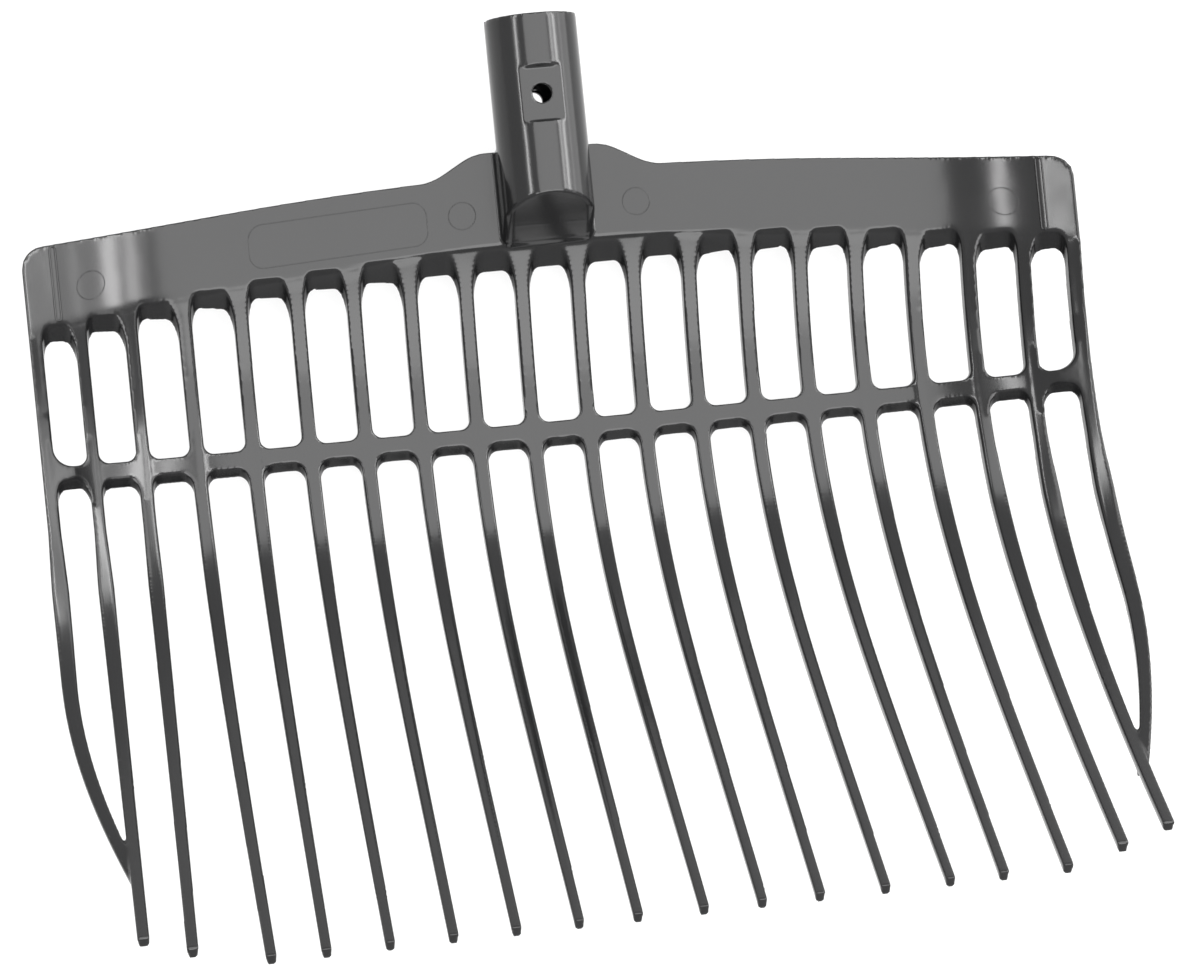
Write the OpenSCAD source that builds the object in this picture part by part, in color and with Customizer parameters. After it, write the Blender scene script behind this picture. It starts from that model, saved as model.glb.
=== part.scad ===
// Head of a bedding and manure fork, moulded in one shot of dark plastic.
// The handle axis runs along Y, the front of the back plate faces +Z and X runs across the basket.
// The origin is the centre of the socket's mouth.

/* [Tines] */
// Number of bars that leave the back plate
tine_count = 20; // [14:2:24]
// Spacing of the bars, measured along the curved section of the basket
tine_pitch = 20; // [18:0.5:24]
// Width of a bar at the back plate
bar_w = 5.2; // [4:0.1:6.5]
// Depth of a bar from its front face to its back
bar_d = 5.6; // [4.5:0.1:7]
// Width of a tine at its tip
tip_w = 3.6; // [2.5:0.1:4]
// Depth of a tine at its tip
tip_d = 3.2; // [2:0.1:4]
// Narrowing of a tine's back face for release from the mould, on each side
release_w = 0.5; // [0:0.1:0.9]

/* [Basket] */
// Angle between the back plate and the plane of the straight tines
back_tilt = 55; // [53:0.5:57]
// Height of the plate's lower edge above the tops of the straight tines
edge_height = 98.5; // [90:0.5:106]
// Distance forward from the plate's lower edge to the tips
reach = 250; // [235:1:265]
// Angle by which the middle bars drop behind the plate's face
bar_lean = 21; // [17:0.5:22]
// Length of the upper arm that draws a middle tine's bend
upper_arm = 128; // [118:1:136]
// Length of the lower arm that draws a middle tine's bend
lower_arm = 165; // [155:1:175]
// Length of the upper arm that draws an outermost tine's bend
outer_arm = 90; // [82:1:98]
// Shift of the outermost tines towards the middle, along the section
outer_inset = 1.2; // [0:0.1:2]
// Distance forward at which the outermost tines run into their neighbours
merge_reach = 201; // [190:1:210]
// Distance between the tip line and the tips of the tines beside the outermost ones
tip_recess = 15; // [8:0.5:20]

/* [Wings] */
// Distance from the middle, along the section, at which the sides start to rise
wing_start = 108; // [100:1:116]
// Radius of the rising sides
wing_r = 100; // [92:1:112]
// Angle at which the rising side breaks into the flat outer lip
crease_angle = 40.5; // [36:0.5:43]
// Angle of the flat outer lip
lip_angle = 30; // [24:1:34]

/* [Back plate] */
// Height of the plate at its middle
plate_h = 24; // [20:0.5:28]
// Thickness of the plate
plate_t = 2.9; // [2.5:0.1:3.5]
// Radius of the plate's arched top edge
top_arch_r = 1450; // [1200:10:1800]
// Radius of the arch that the slot ends follow
slot_arch_r = 1400; // [1200:10:1800]
// Radius of the plate's outer corners
corner_r = 7; // [4:0.5:9]
// Height of the hump beside the socket, above the plate's lower edge
hump_h = 33; // [30:0.5:36]
// Half width of the hump at its top
hump_top = 23.5; // [22:0.5:27]
// Half width of the hump at its foot
hump_foot = 39; // [34:0.5:46]

/* [Slots and crossbar] */
// Radius of the slots' corners, square to the draw of the mould
slot_r = 3.6; // [2.5:0.1:4.2]
// Strip of plate left between its lower edge line and the slots
slot_land = 1.5; // [1:0.1:2.5]
// Distance from the plate's lower edge to the middle of the crossbar
cross_drop = 66; // [62:0.5:70]
// Height of the crossbar's front face
cross_h = 6; // [5:0.1:8]
// Thickness of the crossbar along the draw of the mould
cross_t = 4.4; // [3.6:0.1:5.4]

/* [Socket] */
// Outside diameter of the socket
socket_od = 32.4; // [31.4:0.2:36]
// Height of the socket's axis above the front of the plate
axis_height = 10.2; // [9:0.1:12]
// Diameter of the socket's bore
bore_d = 26; // [24:0.1:26.6]
// Depth of the bore
bore_depth = 55; // [45:1:57]
// Distance from the plate's lower edge to the socket's mouth
socket_top = 77; // [75:0.5:90]
// Height over which the closed end slopes back to the plate
ramp_h = 17; // [14:0.5:19]
// Strip of plate left below the closed end
ramp_land = 1; // [0.5:0.1:2]
// Diameter of the screw hole across the socket
screw_d = 7.3; // [5:0.1:8]
// Distance of the screw hole from the mouth
screw_from_mouth = 28; // [24:0.5:34]
// Length of the flat pad around the screw hole
pad_l = 19.5; // [14:0.5:22]
// Depth of the flat pad below the round front
pad_depth = 1.6; // [1:0.1:1.7]

/* [Hidden] */
$fn = 96;
overrun = 60;
plastic = [0.2, 0.2, 0.21];

// Rows of points down a tine, from the slot head to the tip
stations = 24;
// Step from a tine's flared top down to the bar, on each side
root_step = 0.1;
// Bite of a slot's corner rounding into the side of the bar beside a crossbar piece
slot_bite = 0.2;
// Halvings used to find a level on a tine's curve
search_steps = 22;
// Part of the wing's turn by which the bars' lean is eased
lean_share = 0.3;
// Shortening of the two arms for each unit of distance from the middle
upper_share = 0.28;
lower_share = 0.13;
// Point along the curve where a tine starts to narrow
taper_share = 0.33;
// Point along the curve where an outermost tine starts to turn inwards
turn_share = 0.6;
// Bend of that inward turn
turn_power_share = 1.95;
// Slope at which an outermost tine runs into its neighbour
merge_slope = 16;
// Drop of that meeting below the tops of the straight tines
merge_drop = 2.5;
// Lower arm of an outermost tine
merge_arm = 75;
// Room between an outermost tine's end and the side of its neighbour
merge_gap = 0.3;
// Width left at an outermost tine's end
merge_w = 0.8;

blade_w = bar_w - 2 * root_step;
blade_d = bar_d - 2 * root_step;
crease_a = wing_start + wing_r * crease_angle * PI / 180;
outer_a = (tine_count - 1) / 2 * tine_pitch - outer_inset;
inner_a = (tine_count - 3) / 2 * tine_pitch;
lip_end_a = outer_a + bar_w / 2;
even_a = inner_a - 2 * tine_pitch;
slot_fall = cos(back_tilt) - sin(back_tilt) * tan(bar_lean);
head_l = 2 * slot_land + (slot_r + sin(back_tilt) * plate_t) / slot_fall;
web_flare = slot_r / cos(back_tilt) + slot_land;

function two_digits(i) = str(i < 10 ? "0" : "", i);
tine_names = [for (i = [1:tine_count]) str("tine_", two_digits(i))];
web_names = [for (i = [1:tine_count - 1]) str("cross_web_", two_digits(i))];

// Distance along the section of the middle of tine i, negative on the left
function tine_a(i) = (i - (tine_count + 1) / 2) * tine_pitch
    + (i == 1 ? outer_inset : i == tine_count ? -outer_inset : 0);

// Section across the basket: turn of the rising side, distance out and rise at distance a
function turn_at(a) = min(max(abs(a) - wing_start, 0) / wing_r * 180 / PI, crease_angle);
function past_crease(a) = max(abs(a) - crease_a, 0);
function out_at(a) = min(abs(a), wing_start) + wing_r * sin(turn_at(a)) + past_crease(a) * cos(lip_angle);
function x_at(a) = sign(a) * out_at(a);
function rise_at(a) = wing_r * (1 - cos(turn_at(a))) + past_crease(a) * sin(lip_angle);

// Level of the plate's lower edge line at distance a
function edge_at(a) = -pow(out_at(a), 2) / (2 * slot_arch_r);

// A point given forward of and above the straight tines, as [along the plate, out of the plate]
function from_flat(forward, up) = [
    -forward * cos(back_tilt) - (edge_height - up) * sin(back_tilt),
    forward * sin(back_tilt) - (edge_height - up) * cos(back_tilt)
];

// The four points that draw a tine's side curve: a places its start, c is the tine's own middle
function is_outer(c) = abs(c) > inner_a + tine_pitch / 2;
function start_pt(a, c) = [edge_at(c), rise_at(a)];
function lean_at(a) = bar_lean - lean_share * turn_at(a);
function upper_pt(a, c) = start_pt(a, c)
    - (is_outer(c) ? outer_arm : upper_arm - upper_share * abs(a)) * [cos(lean_at(a)), sin(lean_at(a))];
function tip_reach(c) = reach - tip_recess * max(abs(c) - even_a, 0) / (inner_a - even_a);
function lower_pt(c) = is_outer(c)
    ? from_flat(merge_reach - merge_arm * cos(merge_slope), merge_arm * sin(merge_slope) - merge_drop)
    : from_flat(tip_reach(c) - lower_arm + lower_share * abs(c), 0);
function end_pt(c) = is_outer(c) ? from_flat(merge_reach, -merge_drop) : from_flat(tip_reach(c), 0);

// The side curve at share u of its length, and the direction square to it on the front side
function curve_at(a, c, u) = pow(1 - u, 3) * start_pt(a, c) + 3 * pow(1 - u, 2) * u * upper_pt(a, c)
    + 3 * (1 - u) * u * u * lower_pt(c) + pow(u, 3) * end_pt(c);
function along_at(a, c, u) = pow(1 - u, 2) * (upper_pt(a, c) - start_pt(a, c))
    + 2 * (1 - u) * u * (lower_pt(c) - upper_pt(a, c)) + u * u * (end_pt(c) - lower_pt(c));
function front_at(a, c, u) = let (d = along_at(a, c, u)) [d[1], -d[0]] / norm(d);

// Share of the curve at which it passes a level on the plate
function share_at(a, c, level, low = 0, high = 1, left = search_steps) = left == 0
    ? (low + high) / 2
    : curve_at(a, c, (low + high) / 2)[0] > level
        ? share_at(a, c, level, (low + high) / 2, high, left - 1)
        : share_at(a, c, level, low, (low + high) / 2, left - 1);
function at_level(a, c, level) = curve_at(a, c, share_at(a, c, level));

// Sizes of a tine's section at share u of its curve
function taper(u) = max(u - taper_share, 0) / (1 - taper_share);
function width_at(u) = blade_w + (tip_w - blade_w) * taper(u);
function depth_at(u) = blade_d + (tip_d - blade_d) * taper(u);

// Closed solid between a grid of front points and a like grid of back points
module sheet(front, back) {
    rows = len(front);
    cols = len(front[0]);
    function f(r, c) = r * cols + c;
    function b(r, c) = rows * cols + f(r, c);
    function quad(p, q, s, t) = [[p, q, s], [p, s, t]];
    faces = concat(
        [for (r = [0:rows - 2], c = [0:cols - 2], k = [0, 1])
            quad(f(r, c), f(r, c + 1), f(r + 1, c + 1), f(r + 1, c))[k]],
        [for (r = [0:rows - 2], c = [0:cols - 2], k = [0, 1])
            quad(b(r, c), b(r + 1, c), b(r + 1, c + 1), b(r, c + 1))[k]],
        [for (c = [0:cols - 2], k = [0, 1])
            quad(f(0, c), b(0, c), b(0, c + 1), f(0, c + 1))[k]],
        [for (c = [0:cols - 2], k = [0, 1])
            quad(f(rows - 1, c), f(rows - 1, c + 1), b(rows - 1, c + 1), b(rows - 1, c))[k]],
        [for (r = [0:rows - 2], k = [0, 1])
            quad(f(r, 0), f(r + 1, 0), b(r + 1, 0), b(r, 0))[k]],
        [for (r = [0:rows - 2], k = [0, 1])
            quad(f(r, cols - 1), b(r, cols - 1), b(r + 1, cols - 1), f(r + 1, cols - 1))[k]]
    );
    points = concat([for (row = front, p = row) p], [for (row = back, p = row) p]);
    polyhedron(points, faces, convexity = 6);
}

// Puts shapes drawn on the plate, with its lower edge as zero, at the socket's mouth
module seat() {
    translate([0, -socket_top, -axis_height]) children();
}

// One rounded end of a slot, cut along the draw of the mould; side 1 opens upwards, -1 downwards
module slot_end(width, place, tilt, side) {
    span = overrun / 2;
    reach_x = width / 2 - slot_r;
    corners = [for (s = [-1, 1]) [s * reach_x, s * reach_x * tan(tilt) + slot_r / cos(tilt)]];
    touch = slot_r * [sin(tilt), -cos(tilt)];
    translate(place)
        rotate([-back_tilt, 0, 0])
            linear_extrude(height = 2 * overrun, center = true)
                scale(side)
                    union() {
                        polygon([corners[0] + touch, corners[1] + touch, corners[1] + [slot_r, 0],
                            [width / 2, span], [-width / 2, span], corners[0] - [slot_r, 0]]);
                        for (p = corners)
                            translate(p)
                                circle(r = slot_r);
                    }
}

// Slot between tines i and i + 1: its middle, its width and its end at a level on the plate
function slot_a(i) = (tine_a(i) + tine_a(i + 1)) / 2;
function slot_sides(i) = [x_at(tine_a(i) + bar_w / 2), x_at(tine_a(i + 1) - bar_w / 2)];
function slot_w(i) = slot_sides(i)[1] - slot_sides(i)[0];
function slot_x(i) = (slot_sides(i)[0] + slot_sides(i)[1]) / 2;
function slot_heights(i, level) = [
    at_level(tine_a(i) + bar_w / 2, tine_a(i), level)[1],
    at_level(tine_a(i + 1) - bar_w / 2, tine_a(i + 1), level)[1]
];
function slot_place(i, level) = let (h = slot_heights(i, level)) [slot_x(i), level, (h[0] + h[1]) / 2];

// Slant of the slot's end, seen along the draw, that keeps it level along the plate
function slot_tilt(i, level) = let (h = slot_heights(i, level))
    atan2(sin(back_tilt) * (h[0] - h[1]), slot_w(i));

// Level of the slot's upper end on the front
function slot_top(i) = edge_at(slot_a(i)) - slot_land;

// Stretch of the section that belongs to tine i: to the middles of its slots or the plate's end
function cell_ends(i) = [
    i == 1 ? -lip_end_a : slot_a(i - 1),
    i == tine_count ? lip_end_a : slot_a(i)
];

// Flared top of a tine: the plate side of the slots on both sides of it
module tine_head(i) {
    c = tine_a(i);
    top = edge_at(c);
    low = top - head_l;
    columns = [cell_ends(i)[0], c, cell_ends(i)[1]];
    levels = [top, (top + low) / 2, low];
    front = [for (level = levels) [for (a = columns) [x_at(a), level, at_level(a, c, level)[1]]]];
    back = [for (row = front) [for (k = [0:len(columns) - 1])
        row[k] - [0, 0, plate_t / cos(turn_at(columns[k]))]]];
    difference() {
        sheet(front, back);
        for (k = [i - 1, i])
            if (k > 0 && k < tine_count)
                slot_end(slot_w(k), slot_place(k, slot_top(k)), slot_tilt(k, slot_top(k)), -1);
    }
}

// Inward shift of an outermost tine at share u of its curve
function turned_in(c, u) = is_outer(c) && u > turn_share
    ? (out_at(outer_a) - out_at(inner_a)) * pow((u - turn_share) / (1 - turn_share), turn_power_share)
    : 0;

// Distance out of a tine's side, kept clear of the neighbour that an outermost tine runs into
function side_out(c, u, half) = is_outer(c)
    ? max(out_at(abs(c) + half) - turned_in(c, u),
        out_at(inner_a) + tip_w / 2 + merge_gap + (half > 0 ? merge_w : 0))
    : out_at(abs(c) + half);

// Bar and tine from behind the flared top down, narrowing to the tip
module tine_blade(i) {
    c = tine_a(i);
    u_start = share_at(c, c, edge_at(c) - 2 * slot_land);
    shares = [for (k = [0:stations]) u_start + (1 - u_start) * k / stations];
    side = c < 0 ? -1 : 1;
    function rim_pt(u, s, half, depth) =
        let (a = c + s * width_at(u) / 2,
            p = curve_at(a, c, u) - depth * front_at(a, c, u))
        [side * side_out(c, u, s * side * half), p[0], p[1]];
    front = [for (u = shares) [for (s = [-1, 1]) rim_pt(u, s, width_at(u) / 2, root_step)]];
    back = [for (u = shares) [for (s = [-1, 1])
        rim_pt(u, s, width_at(u) / 2 - release_w * taper(u), root_step + depth_at(u))]];
    sheet(front, back);
}

module tine_shape(i) {
    tine_head(i);
    tine_blade(i);
}

// The right half mirrors the left one
module tine(i) {
    seat() color(plastic)
        if (i > tine_count / 2)
            mirror([1, 0, 0])
                tine_shape(tine_count + 1 - i);
        else
            tine_shape(i);
}

// Piece of the crossbar between tines i and i + 1, with the rounded corners of four slots
module web_shape(i) {
    levels = [cross_h / 2 + web_flare, 0, -cross_h / 2 - web_flare];
    sides = [[tine_a(i) + blade_w / 2, tine_a(i)], [tine_a(i + 1) - blade_w / 2, tine_a(i + 1)]];
    front = [for (level = levels) [for (s = sides)
        let (p = at_level(s[0], s[1], level - cross_drop)) [x_at(s[0]), p[0], p[1]]]];
    draw = cross_t * [0, sin(back_tilt), cos(back_tilt)];
    back = [for (row = front) [for (p = row) p - draw]];
    difference() {
        sheet(front, back);
        for (s = [-1, 1])
            let (level = s * cross_h / 2 - cross_drop)
                slot_end(slot_w(i) + 2 * slot_bite, slot_place(i, level), slot_tilt(i, level), s);
    }
}

module cross_web(i) {
    seat() color(plastic)
        if (i > tine_count / 2)
            mirror([1, 0, 0])
                web_shape(tine_count - i);
        else
            web_shape(i);
}

// Section of one side of the back plate: its flat part, the rising side and the outer lip
module flat_section() {
    translate([0, -plate_t])
        square([wing_start, plate_t]);
}

module wing_section() {
    translate([wing_start, wing_r])
        intersection() {
            difference() {
                circle(r = wing_r + plate_t);
                circle(r = wing_r);
            }
            polygon([[0, 0], [0, -2 * wing_r], 2 * wing_r * [tan(crease_angle), -1]]);
        }
}

module lip_section() {
    translate([out_at(crease_a), rise_at(crease_a)])
        rotate(lip_angle)
            translate([0, -plate_t])
                square([lip_end_a - crease_a + plate_t, plate_t]);
}

// Outline of one side of the back plate, seen square to it
module plate_outline() {
    x_end = out_at(lip_end_a);
    foot = [hump_foot, top_at(hump_foot)];
    brow = [hump_top, hump_h];
    toe = foot + (foot - brow) / 2;
    difference() {
        union() {
            intersection() {
                translate([0, plate_h - top_arch_r])
                    circle(r = top_arch_r, $fn = 4 * $fn);
                translate([0, -hump_h])
                    square([x_end, 2 * hump_h]);
            }
            polygon([[0, 0], [toe[0], 0], toe, brow, [0, hump_h]]);
        }
        translate([tine_pitch - overrun, -overrun])
            square([overrun, 2 * overrun]);
        for (i = [tine_count / 2 + 2:tine_count])
            translate([0, edge_at(tine_a(i)) - overrun])
                square([i == tine_count ? 2 * x_end : out_at(cell_ends(i)[1]), overrun]);
        translate([x_end - corner_r, top_at(x_end - corner_r) - corner_r])
            difference() {
                square(2 * corner_r);
                circle(r = corner_r);
            }
    }
}

// Level of the plate's top edge at distance x from the middle
function top_at(x) = plate_h - top_arch_r + sqrt(pow(top_arch_r, 2) - x * x);

// A section drawn out along the plate and cut to the plate's outline
module cut_to_outline() {
    intersection() {
        translate([0, 0, -overrun])
            linear_extrude(height = 2 * overrun)
                plate_outline();
        rotate([90, 0, 0])
            linear_extrude(height = 4 * hump_h, center = true)
                children();
    }
}

module half_plate() {
    cut_to_outline() flat_section();
    cut_to_outline() wing_section();
    cut_to_outline() lip_section();
}

module back_plate_left() {
    seat() color(plastic)
        mirror([1, 0, 0])
            half_plate();
}

module back_plate_right() {
    seat() color(plastic)
        half_plate();
}

module handle_socket() {
    low = edge_at(tine_pitch / 2);
    foot = low + ramp_land;
    ramp_angle = atan2(ramp_h - ramp_land, axis_height + socket_od / 2 + plate_t / 2);
    saddle_w = socket_od - 2 * root_step;
    pad_place = [-overrun / 2, socket_top - screw_from_mouth - pad_l / 2,
        axis_height + socket_od / 2 - pad_depth];
    seat() color(plastic)
        difference() {
            union() {
                translate([-tine_pitch, low, -plate_t])
                    cube([2 * tine_pitch, hump_h - low, plate_t]);
                difference() {
                    union() {
                        translate([0, socket_top, axis_height])
                            rotate([90, 0, 0])
                                cylinder(d = socket_od, h = socket_top - foot);
                        translate([-saddle_w / 2, foot, -plate_t / 2])
                            cube([saddle_w, hump_h - foot, axis_height + plate_t / 2]);
                    }
                    translate([-overrun / 2, foot, -plate_t / 2])
                        rotate([-ramp_angle, 0, 0])
                            translate([0, -overrun, 0])
                                cube(overrun);
                }
            }
            translate([0, socket_top + overrun, axis_height])
                rotate([90, 0, 0])
                    cylinder(d = bore_d, h = bore_depth + overrun);
            translate([0, socket_top - screw_from_mouth, -overrun])
                cylinder(d = screw_d, h = 2 * overrun);
            translate(pad_place)
                cube([overrun, pad_l, overrun]);
        }
}

handle_socket();
back_plate_left();
back_plate_right();
for (i = [1:tine_count])
    tine(i);
for (i = [1:tine_count - 1])
    cross_web(i);
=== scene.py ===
import bmesh
import bpy
import numpy as np
from mathutils import Matrix, Vector


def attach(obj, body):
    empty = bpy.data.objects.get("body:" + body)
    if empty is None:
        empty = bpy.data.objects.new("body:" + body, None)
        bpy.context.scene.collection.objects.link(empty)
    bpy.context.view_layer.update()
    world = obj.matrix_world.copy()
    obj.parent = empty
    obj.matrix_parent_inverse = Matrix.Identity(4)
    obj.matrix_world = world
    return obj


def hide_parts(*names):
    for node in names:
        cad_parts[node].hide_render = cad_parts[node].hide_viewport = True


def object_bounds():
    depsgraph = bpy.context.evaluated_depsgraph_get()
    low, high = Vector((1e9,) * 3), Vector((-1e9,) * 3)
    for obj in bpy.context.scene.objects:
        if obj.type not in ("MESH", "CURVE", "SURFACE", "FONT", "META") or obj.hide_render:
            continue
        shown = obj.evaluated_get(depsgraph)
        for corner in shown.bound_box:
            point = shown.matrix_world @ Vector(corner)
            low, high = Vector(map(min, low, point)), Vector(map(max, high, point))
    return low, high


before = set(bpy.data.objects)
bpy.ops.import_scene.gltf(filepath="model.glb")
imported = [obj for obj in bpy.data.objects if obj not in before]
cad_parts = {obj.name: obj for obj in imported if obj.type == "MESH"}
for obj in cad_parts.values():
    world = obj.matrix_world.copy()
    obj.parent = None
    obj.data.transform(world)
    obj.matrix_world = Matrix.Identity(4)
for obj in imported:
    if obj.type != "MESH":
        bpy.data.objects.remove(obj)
cad_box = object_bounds()

# Tines
# Twenty bars of dark moulded plastic leave the back plate, lean back and sweep forward into the
# floor of the basket. They come out of one mould with the plate, in one shot. The outermost two
# turn inwards and run into their neighbours.
tine_count = 20
tine_pitch = 0.020
outer_inset = 0.0012
bar_w = 0.0052
bar_d = 0.0056
tip_w = 0.0036
tip_d = 0.0040
release_w = 0.0005
back_tilt = np.radians(55)
bar_lean = np.radians(21)
edge_height = 0.0985
reach = 0.250
upper_arm = 0.1267
lower_arm = 0.165
outer_arm = 0.090
merge_reach = 0.2045
merge_arm = 0.075
merge_drop = 0.0025
merge_slope = np.radians(16)
tip_recess = 0.015
lean_share = 0.3
upper_share = 0.28
lower_share = 0.13
taper_share = 0.33
turn_share = 0.6
turn_power = 1.95
wing_start = 0.108
wing_r = 0.100
crease_turn = np.radians(40.5)
lip_turn = np.radians(31.5)
slot_arch_r = 1.400
wing_fall = 0.0042
fall_power = 1.5
bend_drop = 0.003
bend_from = 0.030
bend_to = 0.075
plate_t = 0.0029
bar_rise = 0.008
free_level = -0.086
free_run = 0.020
wing_more = 0.25
bar_rows = 150
corner_share = 0.22
socket_top = 0.077
axis_height = 0.0102

# Sideways set that long use has left in single tips, by tine number
tip_set = {3: -0.0025, 4: 0.0025, 10: -0.0012, 12: -0.0012, 13: -0.0025, 14: -0.0012,
           16: -0.0025, 17: -0.0012}

crease_a = wing_start + wing_r * crease_turn
outer_a = (tine_count - 1) / 2 * tine_pitch - outer_inset
inner_a = (tine_count - 3) / 2 * tine_pitch
even_a = inner_a - 2 * tine_pitch
lip_end_a = outer_a + bar_w / 2
# The plate's lower edge line, in the middle of its front, in the shared frame
seat = np.array((0, -socket_top, -axis_height))


def tine_place(number):
    """Distance of a tine's middle along the section across the basket, negative on the left."""
    place = (number - (tine_count + 1) / 2) * tine_pitch
    return np.clip(place, -outer_a, outer_a)


def turn_at(a):
    """Turn of the rising side of the basket at distance a along its section."""
    return np.clip((np.abs(a) - wing_start) / wing_r, 0, crease_turn)


def past_crease(a):
    """How far a place on the section lies past the crease, on the flat lip."""
    return np.maximum(np.abs(a) - crease_a, 0)


def x_at(a):
    """Place across the plate at distance a along the section."""
    out = np.minimum(np.abs(a), wing_start) + wing_r * np.sin(turn_at(a))
    return np.sign(a) * (out + past_crease(a) * np.cos(lip_turn))


def rise_at(a):
    """Rise of the plate's front out of its flat middle at distance a along the section."""
    return wing_r * (1 - np.cos(turn_at(a))) + past_crease(a) * np.sin(lip_turn)


def slot_line(a):
    """Level of the line that the slots' upper ends follow."""
    fall = np.clip((np.abs(a) - wing_start) / (outer_a - wing_start), 0, 1)
    return -x_at(a) ** 2 / (2 * slot_arch_r) - wing_fall * fall ** fall_power


def edge_at(a):
    """Level of the bend at which the bars start to lean back, lower down towards the sides."""
    return slot_line(a) - bend_drop * np.clip((np.abs(a) - bend_from) / (bend_to - bend_from), 0, 1)


def from_flat(forward, up):
    """A point forward of and above the straight tines, as along the plate and out of it."""
    drop = edge_height - up
    return np.stack(np.broadcast_arrays(
        -forward * np.cos(back_tilt) - drop * np.sin(back_tilt),
        forward * np.sin(back_tilt) - drop * np.cos(back_tilt)), -1)


def side_curve(a, u):
    """Front line of a bar that starts at a, at share u of its length, with its direction."""
    a, u = np.broadcast_arrays(a, u)
    span = np.abs(a)
    lean = bar_lean - lean_share * turn_at(a)
    outer = np.clip((span - inner_a) / (outer_a - inner_a), 0, 1)[..., None]
    arm = (1 - outer) * (upper_arm - upper_share * span)[..., None] + outer * outer_arm
    start = np.stack([edge_at(a), rise_at(a)], -1)
    upper = start - arm * np.stack([np.cos(lean), np.sin(lean)], -1)
    ends = reach - tip_recess * np.maximum(span - even_a, 0) / (inner_a - even_a)
    merge = from_flat(merge_reach - merge_arm * np.cos(merge_slope),
                      merge_arm * np.sin(merge_slope) - merge_drop)
    lower = (1 - outer) * from_flat(ends - lower_arm + lower_share * span, 0) + outer * merge
    end = (1 - outer) * from_flat(ends, 0) + outer * from_flat(merge_reach, -merge_drop)
    u = u[..., None]
    v = 1 - u
    place = v ** 3 * start + 3 * v * v * u * upper + 3 * v * u * u * lower + u ** 3 * end
    along = v * v * (upper - start) + 2 * v * u * (lower - upper) + u * u * (end - lower)
    return place, along / np.linalg.norm(along, axis=-1, keepdims=True)


def new_object(name, points, faces, edges=()):
    """A mesh object whose points are given on the plate and set down in the shared frame."""
    mesh = bpy.data.meshes.new(name)
    mesh.from_pydata((np.reshape(points, (-1, 3)) + seat).tolist(), list(edges), list(faces))
    made = bpy.data.objects.new(name, mesh)
    bpy.context.scene.collection.objects.link(made)
    return made


def plain_mesh(made):
    """Turns an object with modifiers into its finished plain mesh."""
    bpy.context.view_layer.update()
    shape = made.evaluated_get(bpy.context.evaluated_depsgraph_get())
    mesh = bpy.data.meshes.new_from_object(shape)
    made.modifiers.clear()
    made.data = mesh


def socket_id(tree, name):
    """Identifier of a node tree's named input."""
    return next(s.identifier for s in tree.interface.items_tree if s.name == name)


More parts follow.
